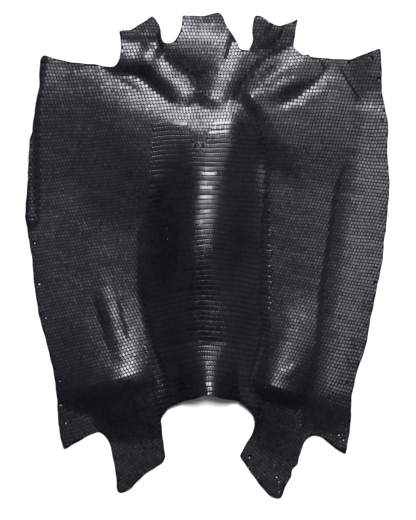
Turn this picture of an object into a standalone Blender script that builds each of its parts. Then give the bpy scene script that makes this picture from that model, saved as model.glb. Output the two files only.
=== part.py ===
"""A glazed lizard hide, scales up, laid out on a flat surface.

The hide is one cut piece: a neck stub, two front legs, two flanks and two hind
legs round a belly. Its edge is a chain of corners joined by shallow arcs, and its
folds are long soft ridges. The leather touches the surface wherever no fold lifts it.

Metres, +Z up. The neck points along +Y. The origin is on the surface, under the
middle of the hide's box.
"""
from collections import namedtuple

import bpy
import numpy as np
from mathutils import Vector
from mathutils.geometry import delaunay_2d_cdt

# ---------------------------------------------------------------- driving dimensions
MM = 0.001
THICKNESS = 1.2 * MM
# Steps of the mesh along the cut edge and between the points of the lattice inside it.
EDGE_STEP = 6.0 * MM
LATTICE_STEP = 7.0 * MM
# A lattice point keeps at least this share of a step away from the cut edge.
EDGE_CLEARANCE = 0.6
# Where the folds lift the leather by less than about this, its weight presses it flat.
LAY_FLAT_BELOW = 0.4 * MM
# Where folds meet, the higher one wins. A higher number makes the valley between sharper.
MEETING_SHARPNESS = 4.0

# ---------------------------------------------------------------- finish
LEATHER_BLACK = (0.014, 0.014, 0.017, 1.0)
GLAZE_ROUGHNESS = 0.32

# ---------------------------------------------------------------- triangulation
TRIANGLES_INSIDE_EDGE_ONLY = 1
MERGE_TOLERANCE = 1e-9

# ---------------------------------------------------------------- the cut edge
# Corners run clockwise seen from above, in millimetres. bow is how far the arc to
# the next corner swells outwards; a negative bow draws in.
Corner = namedtuple("Corner", "name x y bow")

LEFT_SHOULDER = [
    Corner("shoulder tip", -135.0, 165.2, -1.6),
    Corner("shoulder dip", -91.7, 157.5, -0.5),
    Corner("armpit", -77.0, 155.5, -1.8),
]
LEFT_FRONT_LEG = [
    Corner("leg root", -71.2, 169.3, -0.8),
    Corner("paw outer corner", -73.1, 185.3, 0.1),
    Corner("paw dip", -63.7, 185.7, -0.5),
    Corner("paw inner corner", -45.7, 197.7, 1.4),
    Corner("leg inner edge", -38.6, 185.8, -0.5),
    Corner("throat notch start", -36.0, 175.4, -0.9),
    Corner("throat notch end", -27.9, 176.1, -0.7),
]
NECK = [
    Corner("neck left side", -22.0, 185.8, -0.7),
    Corner("neck left corner", -20.6, 198.1, -0.1),
    Corner("neck tip dip", -1.9, 197.4, 0.0),
    Corner("neck tip peak", 9.5, 200.6, 0.3),
    Corner("neck right corner", 13.4, 195.7, -0.6),
    Corner("neck right side", 19.8, 183.3, 0.7),
]
RIGHT_FRONT_LEG = [
    Corner("throat notch start", 26.3, 170.2, -0.2),
    Corner("throat notch end", 34.0, 169.3, -0.7),
    Corner("leg inner edge", 37.6, 179.2, 1.0),
    Corner("paw inner corner", 39.0, 197.5, 0.7),
    Corner("paw middle", 46.3, 196.5, -1.1),
    Corner("paw dip", 59.5, 189.0, -0.6),
    Corner("paw outer corner", 74.7, 195.2, -0.3),
    Corner("leg root", 70.8, 172.6, -1.1),
]
RIGHT_SHOULDER = [
    Corner("armpit", 80.1, 165.0, -0.2),
    Corner("armpit nib", 83.1, 166.2, -0.4),
    Corner("armpit nib foot", 85.0, 163.6, -0.4),
    Corner("shoulder dip", 118.8, 161.7, 0.1),
    Corner("shoulder tip", 142.6, 171.1, 0.3),
    Corner("shoulder edge", 143.8, 136.4, -0.4),
]
RIGHT_FLANK = [
    Corner("flank bump", 149.4, 107.9, 0.0),
    Corner("flank hollow", 147.9, 86.9, 0.2),
    Corner("flank point", 150.0, 60.6, 0.8),
    Corner("flank fall", 145.3, 10.3, 0.6),
    Corner("flank nick", 143.7, -6.6, 0.2),
    Corner("hip bend", 134.1, -53.1, 1.6),
    Corner("hip waist", 123.7, -93.9, -0.2),
    Corner("hip edge", 118.6, -116.6, 1.5),
    Corner("hip tip", 113.9, -163.9, 0.6),
    Corner("hip hollow", 94.6, -149.8, -0.3),
    Corner("groin notch", 86.3, -148.3, -1.0),
]
RIGHT_HIND_LEG = [
    Corner("leg outer edge", 79.3, -154.9, -0.5),
    Corner("leg nib", 74.6, -172.1, -0.4),
    Corner("leg nib foot", 70.0, -176.2, -0.3),
    Corner("leg step", 69.5, -181.3, -0.9),
    Corner("paw outer corner", 61.7, -198.2, 0.8),
    Corner("paw tip", 57.8, -200.5, 1.0),
    Corner("paw lower edge", 48.0, -194.2, 0.8),
    Corner("paw inner corner", 26.8, -164.8, 0.2),
]
VENT = [
    Corner("right leg inner edge", 35.6, -148.7, -2.4),
    Corner("right curve", 37.2, -130.2, -0.4),
    Corner("right shoulder", 24.9, -119.5, 0.9),
    Corner("middle cusp", 0.2, -114.0, 0.9),
    Corner("left side", -19.6, -119.9, -0.3),
    Corner("left shoulder", -32.5, -126.1, -0.3),
    Corner("left curve", -38.2, -134.7, -0.5),
]
LEFT_HIND_LEG = [
    Corner("leg inner edge", -34.5, -163.6, 0.8),
    Corner("paw inner corner", -37.7, -171.6, -1.7),
    Corner("paw lower edge", -61.6, -190.8, 0.5),
    Corner("paw tip", -71.5, -195.8, 1.1),
    Corner("paw outer corner", -74.7, -190.8, -0.9),
    Corner("leg outer edge", -79.6, -158.2, -2.1),
]
LEFT_FLANK = [
    Corner("groin notch", -89.7, -144.9, -0.7),
    Corner("hip hollow", -104.9, -152.4, 0.1),
    Corner("hip tip", -118.2, -159.9, 1.7),
    Corner("hip edge", -123.4, -120.7, -0.1),
    Corner("hip waist", -127.2, -92.3, -0.1),
    Corner("hip bend", -139.0, -47.8, 0.7),
    Corner("flank fall", -144.4, -2.1, 0.0),
    Corner("flank point", -150.1, 32.1, -0.4),
    Corner("flank rise", -146.6, 93.1, 0.5),
    Corner("edge step", -144.5, 100.9, 0.1),
    Corner("edge upper", -140.8, 131.0, -0.2),
    Corner("shoulder edge", -138.3, 139.7, 0.2),
    Corner("shoulder corner", -138.1, 160.3, 0.5),
]
CUT_EDGE = (
    LEFT_SHOULDER
    + LEFT_FRONT_LEG
    + NECK
    + RIGHT_FRONT_LEG
    + RIGHT_SHOULDER
    + RIGHT_FLANK
    + RIGHT_HIND_LEG
    + VENT
    + LEFT_HIND_LEG
    + LEFT_FLANK
)

# ---------------------------------------------------------------- the folds
# Each fold is a soft ridge. Its crest runs from (x0, y0) to (x1, y1), and bends to
# its left by bow at the middle. left and right are the widths of its two sides, and
# rise0, rise1 and rise2 are its heights at the start, middle and end. cap is how far
# it runs out past each end. All in millimetres.
Fold = namedtuple("Fold", "name x0 y0 x1 y1 bow left right rise0 rise1 rise2 cap")

FOLDS = [
    Fold("neck", -34, 172, 10, 161, 0, 34, 30, 2.6, 2.3, 2.2, 10),
    Fold("throat", 27, 176, 8, 128, 2, 23, 34, 0.4, 3.2, 5.0, 22),
    Fold("left leg", -78, 160, -48, 158, 0, 23, 16, 2.2, 3.4, 3.6, 14),
    Fold("left tendon", -50, 161, -20, 130, 0, 24, 20, 3.4, 4.0, 4.2, 16),
    Fold("chest", -94, 131, 10, 99, -10, 55, 96, 2.2, 5.8, 8.0, 48),
    Fold("left shoulder", -135, 127, -90, 128, 0, 44, 60, 1.4, 1.9, 2.4, 26),
    Fold("right leg", 36, 195, 76, 193, 0, 10, 40, 1.0, 1.2, 1.0, 12),
    Fold("right armpit", 88, 166, 40, 127, 0, 34, 27, 1.2, 3.4, 4.6, 20),
    Fold("right shoulder", 112, 150, 52, 114, 7, 96, 25, 0.8, 3.0, 4.0, 34),
    Fold("right corner", 116, 168, 148, 170, 0, 10, 66, 0.8, 2.2, 2.4, 24),
    Fold("right loin", 72, 100, 64, -70, 0, 60, 40, 1.4, 1.8, 1.6, 40),
    Fold("belly", 3, 94, 1, -118, -7, 62, 56, 4, 12, 7.5, 44),
    Fold("left groin", -89, -12, -69, -100, 0, 44, 66, 0.4, 2.8, 9.0, 30),
    Fold("left hip", -74, -110, -44, -107, 0, 30, 50, 6.4, 6.2, 4.0, 28),
    Fold("right groin", 88, -26, 58, -108, 0, 36, 34, 0.6, 4.4, 8.6, 20),
    Fold("right hip", 52, -114, 74, -116, 0, 28, 60, 3, 3, 1.6, 12),
    Fold("right flank", 130, 110, 95, -112, 0, 46, 22, 1.6, 2.6, 3.8, 40),
    Fold("left edge roll", -140, 160, -146, 30, -3, 8, 6, 2, 2.2, 1.2, 10),
]

# The keel of the belly is a narrower ridge on top of the belly fold.
KEEL = [
    Fold("keel", 2, 112, -7, 24, 0, 44, 40, 0.2, 2.2, 4.0, 76),
    Fold("keel rear", 0, -72, 1, -126, 0, 25, 25, 0, 4.0, 10.5, 24),
]


def edge_points(corners, step):
    """Points along the cut edge: each stretch is a parabola of the corner's bow."""
    points = []
    for corner, following in zip(corners, corners[1:] + corners[:1]):
        start = np.array([corner.x, corner.y]) * MM
        run = np.array([following.x, following.y]) * MM - start
        length = np.hypot(*run)
        outward = np.array([-run[1], run[0]]) / length
        count = max(1, round(length / step))
        for t in np.arange(count) / count:
            points.append(start + run * t + outward * corner.bow * MM * 4.0 * t * (1.0 - t))
    points = np.array(points)
    return points - (points.max(axis=0) + points.min(axis=0)) / 2.0


def bell(across):
    """A smooth hump: 1 at the middle, 0 with no slope from 1 outwards."""
    return np.clip(1.0 - across**2, 0.0, None) ** 2


def fold_height(fold, x, y):
    """Height of one ridge: a bell across its bowed crest, on a parabola through its three rises."""
    run = np.array([fold.x1 - fold.x0, fold.y1 - fold.y0], dtype=float)
    length = np.hypot(*run)
    run /= length
    along = (x - fold.x0) * run[0] + (y - fold.y0) * run[1]
    t = np.clip(along / length, 0.0, 1.0)
    leftward = (y - fold.y0) * run[0] - (x - fold.x0) * run[1] - fold.bow * 4.0 * t * (1.0 - t)
    past_end = (along - t * length) / fold.cap
    across = leftward / np.where(leftward > 0.0, fold.left, fold.right)
    rise = (
        fold.rise0 * (1.0 - t) * (1.0 - 2.0 * t)
        + fold.rise1 * 4.0 * t * (1.0 - t)
        + fold.rise2 * t * (2.0 * t - 1.0)
    )
    return rise * bell(np.hypot(across, past_end))


def lie(points):
    """How high the leather's underside lies: the folds blended and pressed flat where low, then the keel."""
    x, y = points[:, 0] / MM, points[:, 1] / MM
    total = sum(fold_height(fold, x, y) ** MEETING_SHARPNESS for fold in FOLDS)
    lift = total ** (1.0 / MEETING_SHARPNESS) * MM
    keel = sum(fold_height(ridge, x, y) for ridge in KEEL) * MM
    return lift**2 / (lift + LAY_FLAT_BELOW) + keel


def inside(points, outline):
    """True where a point lies inside the outline, by counting the edges to its right."""
    x, y = points[:, :1], points[:, 1:]
    x0, y0 = outline.T
    x1, y1 = np.roll(outline, -1, axis=0).T
    spans = (y0 > y) != (y1 > y)
    rise = np.where(y1 == y0, 1.0, y1 - y0)
    crossing = x0 + (y - y0) * (x1 - x0) / rise
    return np.count_nonzero(spans & (crossing > x), axis=1) % 2 == 1


def lattice_points(outline, step):
    """Points of an even triangular lattice inside the outline, clear of its edge."""
    row_step = step * np.sqrt(3.0) / 2.0
    low, high = outline.min(axis=0), outline.max(axis=0)
    rows = np.arange(low[1], high[1], row_step)
    columns = np.arange(low[0], high[0], step)
    x, y = np.meshgrid(columns, rows)
    x = x + (np.arange(len(rows))[:, None] % 2) * step / 2.0
    points = np.column_stack([x.ravel(), y.ravel()])
    points = points[inside(points, outline)]
    gaps = np.hypot(*(points[:, None, :] - outline[None, :, :]).transpose(2, 0, 1))
    return points[gaps.min(axis=1) > EDGE_CLEARANCE * step]


def leather_material():
    """Black aniline leather under a hard polished glaze."""
    material = bpy.data.materials.new("glazed leather")
    material.use_nodes = True
    shader = material.node_tree.nodes["Principled BSDF"]
    shader.inputs["Base Color"].default_value = LEATHER_BLACK
    shader.inputs["Roughness"].default_value = GLAZE_ROUGHNESS
    shader.inputs["Metallic"].default_value = 0.0
    material.diffuse_color = LEATHER_BLACK
    return material


def make_hide(collection):
    """The hide: its flat cut shape in triangles, lifted by the folds, then given thickness."""
    outline = edge_points(CUT_EDGE, EDGE_STEP)
    flat = np.vstack([outline, lattice_points(outline, LATTICE_STEP)])
    ring = [(i, (i + 1) % len(outline)) for i in range(len(outline))]
    filled = delaunay_2d_cdt(
        [Vector(point) for point in flat], ring, [], TRIANGLES_INSIDE_EDGE_ONLY, MERGE_TOLERANCE
    )
    plane = np.array([tuple(point) for point in filled[0]])
    faces = filled[2]
    points = np.column_stack([plane, lie(plane)])

    mesh = bpy.data.meshes.new("hide")
    mesh.from_pydata(points.tolist(), [], faces)
    mesh.materials.append(leather_material())
    hide = bpy.data.objects.new("hide", mesh)
    collection.objects.link(hide)

    solidify = hide.modifiers.new("thickness", "SOLIDIFY")
    solidify.thickness = THICKNESS
    solidify.offset = 1.0
    solidify.use_even_offset = True
    return hide


def main():
    for leftover in list(bpy.data.objects):
        bpy.data.objects.remove(leftover)
    collection = bpy.data.collections.new("lizard leather hide")
    bpy.context.scene.collection.children.link(collection)
    make_hide(collection)


main()
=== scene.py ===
# %% [markdown]
# # A glazed lizard hide, laid out scales up
# This hide is one cut skin. Its grain side is covered with thousands of small horny
# scales, dyed black and polished until they shine like glass. Its flesh side is suede.
# The lesson builds it as a tanner would describe it: a thin leather sheet with a cut
# edge, nail holes and soft folds, and on top of it the scales, row by row.
#
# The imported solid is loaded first. It fixes the size, the outline and the folds, and
# every piece below is worked out in its frame: metres, neck towards +Y, +Z up.

# %% Load the frame
from collections import namedtuple

import bpy
import numpy as np
from mathutils.geometry import delaunay_2d_cdt
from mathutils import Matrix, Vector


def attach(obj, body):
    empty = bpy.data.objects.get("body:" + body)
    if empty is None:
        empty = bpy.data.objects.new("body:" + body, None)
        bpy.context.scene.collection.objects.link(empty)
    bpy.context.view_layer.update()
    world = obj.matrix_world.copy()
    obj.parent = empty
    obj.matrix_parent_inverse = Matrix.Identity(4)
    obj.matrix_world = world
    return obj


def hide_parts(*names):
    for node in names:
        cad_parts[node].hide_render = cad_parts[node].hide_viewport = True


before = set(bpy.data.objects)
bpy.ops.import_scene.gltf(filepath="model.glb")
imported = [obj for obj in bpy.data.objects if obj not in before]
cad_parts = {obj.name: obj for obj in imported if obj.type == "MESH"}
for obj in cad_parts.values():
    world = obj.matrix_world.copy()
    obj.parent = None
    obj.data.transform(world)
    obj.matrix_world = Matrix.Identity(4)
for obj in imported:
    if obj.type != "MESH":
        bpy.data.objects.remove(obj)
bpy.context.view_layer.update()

MM = 0.001

# %% [markdown]
# ## The cut edge
# A skin is trimmed with a knife in long strokes, so its edge is a chain of shallow
# arcs between corners. Drawing it as one spline would round the corners away, and a
# dense list of points would hide what each stretch is. A short table of named corners
# keeps both: each row gives a corner in millimetres and bow, how far the arc to the
# next corner swells outwards. Corners run clockwise seen from above.

# %% Corners of the cut edge
Corner = namedtuple("Corner", "name x y bow")

LEFT_SHOULDER = [
    Corner("shoulder tip", -135.0, 165.2, -1.6),
    Corner("shoulder dip", -91.7, 157.5, -0.5),
    Corner("armpit", -77.0, 155.5, -1.8),
]
LEFT_FRONT_LEG = [
    Corner("leg root", -71.2, 169.3, -0.8),
    Corner("paw outer corner", -73.1, 185.3, 0.1),
    Corner("paw dip", -63.7, 185.7, -0.5),
    Corner("paw inner corner", -45.7, 197.7, 1.4),
    Corner("leg inner edge", -38.6, 185.8, -0.5),
    Corner("throat notch start", -36.0, 175.4, -0.9),
    Corner("throat notch end", -27.9, 176.1, -0.7),
]
NECK = [
    Corner("neck left side", -22.0, 185.8, -0.7),
    Corner("neck left corner", -20.6, 198.1, -0.1),
    Corner("neck tip dip", -1.9, 197.4, 0.0),
    Corner("neck tip peak", 9.5, 200.6, 0.3),
    Corner("neck right corner", 13.4, 195.7, -0.6),
    Corner("neck right side", 19.8, 183.3, 0.7),
]
RIGHT_FRONT_LEG = [
    Corner("throat notch start", 26.3, 170.2, -0.2),
    Corner("throat notch end", 34.0, 169.3, -0.7),
    Corner("leg inner edge", 37.6, 179.2, 1.0),
    Corner("paw inner corner", 39.0, 197.5, 0.7),
    Corner("paw middle", 46.3, 196.5, -1.1),
    Corner("paw dip", 59.5, 189.0, -0.6),
    Corner("paw outer corner", 74.7, 195.2, -0.3),
    Corner("leg root", 70.8, 172.6, -1.1),
]
RIGHT_SHOULDER = [
    Corner("armpit", 80.1, 165.0, -0.2),
    Corner("armpit nib", 83.1, 166.2, -0.4),
    Corner("armpit nib foot", 85.0, 163.6, -0.4),
    Corner("shoulder dip", 118.8, 161.7, 0.1),
    Corner("shoulder tip", 142.6, 171.1, 0.3),
    Corner("shoulder edge", 143.8, 136.4, -0.4),
]
RIGHT_FLANK = [
    Corner("flank bump", 149.4, 107.9, 0.0),
    Corner("flank hollow", 147.9, 86.9, 0.2),
    Corner("flank point", 150.0, 60.6, 0.8),
    Corner("flank fall", 145.3, 10.3, 0.6),
    Corner("flank nick", 143.7, -6.6, 0.2),
    Corner("hip bend", 134.1, -53.1, 1.6),
    Corner("hip waist", 123.7, -93.9, -0.2),
    Corner("hip edge", 118.6, -116.6, 1.5),
    Corner("hip tip", 113.9, -163.9, 0.6),
    Corner("hip hollow", 94.6, -149.8, -0.3),
    Corner("groin notch", 86.3, -148.3, -1.0),
]
RIGHT_HIND_LEG = [
    Corner("leg outer edge", 79.3, -154.9, -0.5),
    Corner("leg nib", 74.6, -172.1, -0.4),
    Corner("leg nib foot", 70.0, -176.2, -0.3),
    Corner("leg step", 69.5, -181.3, -0.9),
    Corner("paw outer corner", 61.7, -198.2, 0.8),
    Corner("paw tip", 57.8, -200.5, 1.0),
    Corner("paw lower edge", 48.0, -194.2, 0.8),
    Corner("paw inner corner", 26.8, -164.8, 0.2),
]
VENT = [
    Corner("right leg inner edge", 35.6, -148.7, -2.4),
    Corner("right curve", 37.2, -130.2, -0.4),
    Corner("right shoulder", 24.9, -119.5, 0.9),
    Corner("middle cusp", 0.2, -114.0, 0.9),
    Corner("left side", -19.6, -119.9, -0.3),
    Corner("left shoulder", -32.5, -126.1, -0.3),
    Corner("left curve", -38.2, -134.7, -0.5),
]
LEFT_HIND_LEG = [
    Corner("leg inner edge", -34.5, -163.6, 0.8),
    Corner("paw inner corner", -37.7, -171.6, -1.7),
    Corner("paw lower edge", -61.6, -190.8, 0.5),
    Corner("paw tip", -71.5, -195.8, 1.1),
    Corner("paw outer corner", -74.7, -190.8, -0.9),
    Corner("leg outer edge", -79.6, -158.2, -2.1),
]
LEFT_FLANK = [
    Corner("groin notch", -89.7, -144.9, -0.7),
    Corner("hip hollow", -104.9, -152.4, 0.1),
    Corner("hip tip", -118.2, -159.9, 1.7),
    Corner("hip edge", -123.4, -120.7, -0.1),
    Corner("hip waist", -127.2, -92.3, -0.1),
    Corner("hip bend", -139.0, -47.8, 0.7),
    Corner("flank fall", -144.4, -2.1, 0.0),
    Corner("flank point", -150.1, 32.1, -0.4),
    Corner("flank rise", -146.6, 93.1, 0.5),
    Corner("edge step", -144.5, 100.9, 0.1),
    Corner("edge upper", -140.8, 131.0, -0.2),
    Corner("shoulder edge", -138.3, 139.7, 0.2),
    Corner("shoulder corner", -138.1, 160.3, 0.5),
]
CUT_EDGE = (
    LEFT_SHOULDER
    + LEFT_FRONT_LEG
    + NECK
    + RIGHT_FRONT_LEG
    + RIGHT_SHOULDER
    + RIGHT_FLANK
    + RIGHT_HIND_LEG
    + VENT
    + LEFT_HIND_LEG
    + LEFT_FLANK
)
print(len(CUT_EDGE), "corners on the cut edge")


# %% [markdown]
# The knife leaves corners a little round and the strokes a little uneven. So the arcs
# are stepped finely, each point is drawn towards its two neighbours, and a small
# wavering is added along the edge.

# %% Step along the edge
EDGE_STEP = 1.25
CORNER_ROUNDING = 2
KNIFE_WAVER = 0.12
SHORT_WAVER, LONG_WAVER, LATE_START = 2.1, 5.3, 1.0


def leftward(ring):
    """The unit direction to the left of travel at each point of a closed ring."""
    travel = np.roll(ring, -1, axis=0) - np.roll(ring, 1, axis=0)
    travel /= np.hypot(*travel.T)[:, None]
    return np.column_stack([-travel[:, 1], travel[:, 0]])


def cut_ring(corners, step):
    """Millimetre points along the arcs: start + run t + outwards 4 bow t (1 - t)."""
    stretches = []
    for corner, following in zip(corners, corners[1:] + corners[:1]):
        start = np.array([corner.x, corner.y])
        run = np.array([following.x, following.y]) - start
        length = np.hypot(*run)
        count = max(1, round(length / step))
        t = (np.arange(count) / count)[:, None]
        outward = np.array([-run[1], run[0]]) / length
        stretches.append(start + run * t + outward * corner.bow * 4.0 * t * (1.0 - t))
    ring = np.vstack(stretches)
    return ring - (ring.max(axis=0) + ring.min(axis=0)) / 2.0


edge_ring = cut_ring(CUT_EDGE, EDGE_STEP)
for _ in range(CORNER_ROUNDING):
    edge_ring = (np.roll(edge_ring, 1, axis=0) + 2.0 * edge_ring + np.roll(edge_ring, -1, axis=0)) / 4.0
edge_travel = np.arange(len(edge_ring)) * EDGE_STEP
wavering = np.sin(edge_travel / SHORT_WAVER) + np.sin(edge_travel / LONG_WAVER + LATE_START)
waver = KNIFE_WAVER * wavering
edge_ring = edge_ring + leftward(edge_ring) * waver[:, None]

# %% [markdown]
# ## How the leather lies
# A dry skin remembers how it was nailed out and folded. It lies flat over most of its
# area and stands up in long soft ridges: round the neck and front legs, along the
# middle of the belly, at both groins and down the right flank. The same table of
# ridges shapes the solid. A cloth simulation would fold it at random, so each ridge is
# given one by one: its crest line, the widths of its two sides and its three heights.

# %% The folds
Fold = namedtuple("Fold", "name x0 y0 x1 y1 bow left right rise0 rise1 rise2 cap")

FOLDS = [
    Fold("neck", -34, 172, 10, 161, 0, 34, 30, 2.6, 2.3, 2.2, 10),
    Fold("throat", 27, 176, 8, 128, 2, 23, 34, 0.4, 3.2, 5.0, 22),
    Fold("left leg", -78, 160, -48, 158, 0, 23, 16, 2.2, 3.4, 3.6, 14),
    Fold("left tendon", -50, 161, -20, 130, 0, 24, 20, 3.4, 4.0, 4.2, 16),
    Fold("chest", -94, 131, 10, 99, -10, 55, 96, 2.2, 5.8, 8.0, 48),
    Fold("left shoulder", -135, 127, -90, 128, 0, 44, 60, 1.4, 1.9, 2.4, 26),
    Fold("right leg", 36, 195, 76, 193, 0, 10, 40, 1.0, 1.2, 1.0, 12),
    Fold("right armpit", 88, 166, 40, 127, 0, 34, 27, 1.2, 3.4, 4.6, 20),
    Fold("right shoulder", 112, 150, 52, 114, 7, 96, 25, 0.8, 3.0, 4.0, 34),
    Fold("right corner", 116, 168, 148, 170, 0, 10, 66, 0.8, 2.2, 2.4, 24),
    Fold("right loin", 72, 100, 64, -70, 0, 60, 40, 1.4, 1.8, 1.6, 40),
    Fold("belly", 3, 94, 1, -118, -7, 62, 56, 4, 12, 7.5, 44),
    Fold("left groin", -89, -12, -69, -100, 0, 44, 66, 0.4, 2.8, 9.0, 30),
    Fold("left hip", -74, -110, -44, -107, 0, 30, 50, 6.4, 6.2, 4.0, 28),
    Fold("right groin", 88, -26, 58, -108, 0, 36, 34, 0.6, 4.4, 8.6, 20),
    Fold("right hip", 52, -114, 74, -116, 0, 28, 60, 3, 3, 1.6, 12),
    Fold("right flank", 130, 110, 95, -112, 0, 46, 22, 1.6, 2.6, 3.8, 40),
    Fold("left edge roll", -140, 160, -146, 30, -3, 8, 6, 2, 2.2, 1.2, 10),
]

# The keel of the belly is a narrower ridge on top of the belly fold.
KEEL = [
    Fold("keel", 2, 112, -7, 24, 0, 44, 40, 0.2, 2.2, 4.0, 76),
    Fold("keel rear", 0, -72, 1, -126, 0, 25, 25, 0, 4.0, 10.5, 24),
]
# Lifts well under this, in millimetres, are pressed nearly flat.
LAY_FLAT_BELOW = 0.4
# Where folds meet, the higher one wins. A higher number makes the valley between sharper.
MEETING_SHARPNESS = 4.0

# Fine creases that are too small for the solid, in the same columns.
CREASES = [
    Fold("right leg crease upper", 45, 141, 66, 156, 1, 7, 6, 0.1, 0.35, 0.1, 8),
    Fold("right leg crease lower", 52, 132, 78, 146, 1, 6, 6, 0.1, 0.3, 0.1, 8),
    Fold("right leg stripe", 58, 190, 48, 176, 1, 6, 6, 0.3, 0.6, 0.3, 7),
    Fold("left armpit crease", -72, 150, -48, 135, 1, 6, 6, 0.1, 0.3, 0.1, 8),
    Fold("left groin crest", -86, -26, -71, -80, 0, 10, 10, 0.2, 1.0, 0.3, 12),
    Fold("right groin crease", 62, -100, 76, -90, 0, 6, 6, 0.1, 0.3, 0.1, 8),
]

# The slack that is left all over the skin, as long low waves.
Wave = namedtuple("Wave", "name length heading rise phase")

WAVES = [
    Wave("long sway", 78.0, 4.0, 0.16, 0.4),
    Wave("cross sway", 61.0, 110.0, 0.08, 1.7),
    Wave("slack", 37.0, 30.0, 0.08, 2.9),
    Wave("pull", 23.0, 155.0, 0.07, 0.9),
    Wave("cockle", 15.0, 72.0, 0.035, 0.2),
]


# %% [markdown]
# A fold in leather has a round back and runs out softly at its ends. So each ridge is a
# smooth hump across its crest line, and its height changes along that line. Where two
# ridges meet they are blended, not added, because leather that one fold has lifted isn't
# lifted again by the next. The lowest parts are pressed flat, as the skin's weight does.

# %% The leather's height and slope
def bell(across):
    """A smooth hump: 1 at the middle, 0 with no slope from 1 outwards."""
    return np.clip(1.0 - across**2, 0.0, None) ** 2


def fold_height(fold, x, y):
    """Height of one ridge: a bell across its bowed crest, on a parabola through its three rises."""
    run = np.array([fold.x1 - fold.x0, fold.y1 - fold.y0], dtype=float)
    length = np.hypot(*run)
    run /= length
    along = (x - fold.x0) * run[0] + (y - fold.y0) * run[1]
    t = np.clip(along / length, 0.0, 1.0)
    aside = (y - fold.y0) * run[0] - (x - fold.x0) * run[1] - fold.bow * 4.0 * t * (1.0 - t)
    past_end = (along - t * length) / fold.cap
    across = aside / np.where(aside > 0.0, fold.left, fold.right)
    rise = (
        fold.rise0 * (1.0 - t) * (1.0 - 2.0 * t)
        + fold.rise1 * 4.0 * t * (1.0 - t)
        + fold.rise2 * t * (2.0 * t - 1.0)
    )
    return rise * bell(np.hypot(across, past_end))


def wave_height(wave, x, y):
    """Height of one long wave: half its rise times (1 + sine of the distance along it)."""
    heading = np.radians(wave.heading)
    travel = x * np.cos(heading) + y * np.sin(heading)
    return wave.rise / 2.0 * (1.0 + np.sin(2.0 * np.pi * travel / wave.length + wave.phase))


def lie(x, y):
    """Height of the underside: lift^2 / (lift + 0.4) of the blended folds, + fine ridges + slack."""
    total = sum(fold_height(fold, x, y) ** MEETING_SHARPNESS for fold in FOLDS)
    lift = total ** (1.0 / MEETING_SHARPNESS)
    fine = sum(fold_height(fold, x, y) for fold in KEEL + CREASES)
    slack = sum(wave_height(wave, x, y) for wave in WAVES)
    return lift**2 / (lift + LAY_FLAT_BELOW) + fine + slack


SLOPE_REACH = 0.4


def upward(x, y):
    """The leather's unit normal, from the differences of lie a short way to each side."""
    slope_x = (lie(x + SLOPE_REACH, y) - lie(x - SLOPE_REACH, y)) / (2.0 * SLOPE_REACH)
    slope_y = (lie(x, y + SLOPE_REACH) - lie(x, y - SLOPE_REACH)) / (2.0 * SLOPE_REACH)
    normal = np.column_stack([-slope_x, -slope_y, np.ones_like(slope_x)])
    return normal / np.linalg.norm(normal, axis=1)[:, None]


edge_heights = lie(edge_ring[:, 0], edge_ring[:, 1])
print("highest place of the cut edge:", round(float(edge_heights.max()), 2), "mm")

# %% [markdown]
# ## The nail holes
# The wet skin is stretched on a board with nails just inside its edge, and each nail
# leaves a small round hole. They could be painted on as dark dots, but daylight shows
# through the real ones, so they are cut. The table gives each hole's centre and radius.

# %% Nail holes
NailHole = namedtuple("NailHole", "x y radius")

NAIL_HOLES = [
    NailHole(-135.0, 157.4, 0.65),
    NailHole(-147.0, 34.4, 0.60),
    NailHole(-144.0, 30.2, 0.60),
    NailHole(-142.0, 10.3, 0.60),
    NailHole(-138.3, -23.5, 0.70),
    NailHole(-132.9, -51.5, 0.60),
    NailHole(-121.0, -103.4, 0.65),
    NailHole(-120.6, -123.2, 0.60),
    NailHole(-116.4, -138.0, 0.65),
    NailHole(-71.6, -186.6, 0.60),
    NailHole(34.7, -166.4, 0.60),
    NailHole(29.8, -166.5, 0.60),
    NailHole(57.2, -182.5, 0.60),
    NailHole(59.1, -186.6, 0.65),
    NailHole(58.8, -194.5, 0.65),
    NailHole(108.5, -147.9, 0.65),
    NailHole(112.2, -152.0, 0.60),
    NailHole(115.1, -105.9, 0.60),
    NailHole(138.8, -7.8, 0.70),
    NailHole(138.8, -23.5, 0.65),
    NailHole(147.0, 56.4, 0.60),
    NailHole(143.9, 111.3, 0.60),
    NailHole(141.4, 144.6, 0.65),
    NailHole(134.6, 162.2, 0.70),
    NailHole(69.2, 190.7, 0.60),
]
HOLE_SIDES = 12
hole_centres = np.array([(hole.x, hole.y) for hole in NAIL_HOLES])
hole_radii = np.array([hole.radius for hole in NAIL_HOLES])


def hole_ring(hole):
    """Points round one hole, anticlockwise, so the leather lies on their right."""
    turn = 2.0 * np.pi * np.arange(HOLE_SIDES) / HOLE_SIDES
    return np.column_stack([hole.x + hole.radius * np.cos(turn), hole.y + hole.radius * np.sin(turn)])


print(len(NAIL_HOLES), "nail holes")

# %% [markdown]
# ## Inside or outside the cut
# Several steps have to know whether a point lies on the leather and how far it is from
# the cut. Both tests run on whole arrays: a point is inside when a ray to its right
# crosses the edge an odd number of times.

# %% Tests against the edge
def inside(points, ring):
    """True where a point is inside the ring: the ray to its right crosses it an odd number of times."""
    x, y = points[:, :1], points[:, 1:]
    x0, y0 = ring.T
    x1, y1 = np.roll(ring, -1, axis=0).T
    spans = (y0 > y) != (y1 > y)
    rise = np.where(y1 == y0, 1.0, y1 - y0)
    crossing = x0 + (y - y0) * (x1 - x0) / rise
    return np.count_nonzero(spans & (crossing > x), axis=1) % 2 == 1


BATCH = 4000


def in_batches(test, points, ring):
    """The same test, a few thousand points at a time, so the arrays stay small."""
    starts = range(0, len(points), BATCH)
    return np.concatenate([test(points[start:start + BATCH], ring) for start in starts])


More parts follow.
